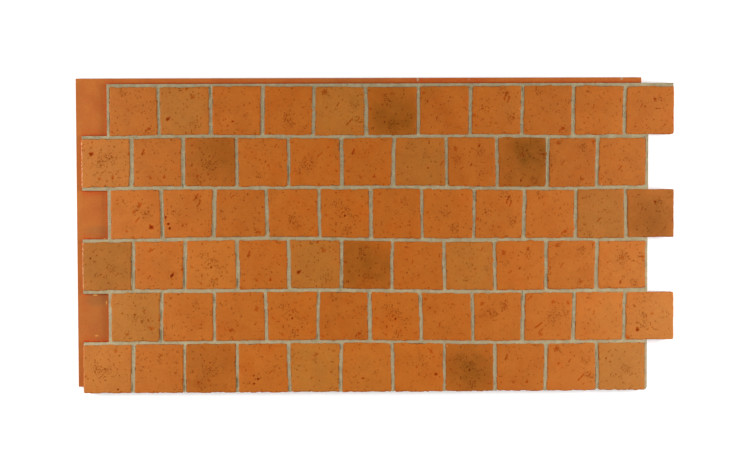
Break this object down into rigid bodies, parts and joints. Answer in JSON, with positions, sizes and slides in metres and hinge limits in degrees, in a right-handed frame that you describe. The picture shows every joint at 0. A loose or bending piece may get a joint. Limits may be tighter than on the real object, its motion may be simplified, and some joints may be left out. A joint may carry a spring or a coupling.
{
  "type": "faux tile wall panel",
  "caption": "Moulded foam wall panel faced with square terracotta tiles in running bond; half-lapped edges and half-tile tongues lock it to its neighbours.",
  "frame": {"origin": "middle of the back face, which is one module of the tiling: 11 by 6 tile pitches", "axes": "+X along the courses towards the half-tile tongues, +Y up the wall, +Z out of the wall; the panel lies on its back"},
  "size_m": [1.2538, 0.6602, 0.0222],
  "materials": {
    "terracotta_paint": "satin hand-tinted terracotta paint over moulded foam",
    "grout_paint": "matt sanded grout",
    "base_coat": "satin base coat on the flanges and edges",
    "bare_foam": "uncoated rigid foam skin on the back"
  },
  "bodies": {
    "root": {"tile_panel": "terracotta_paint"}
  },
  "joints": []
}
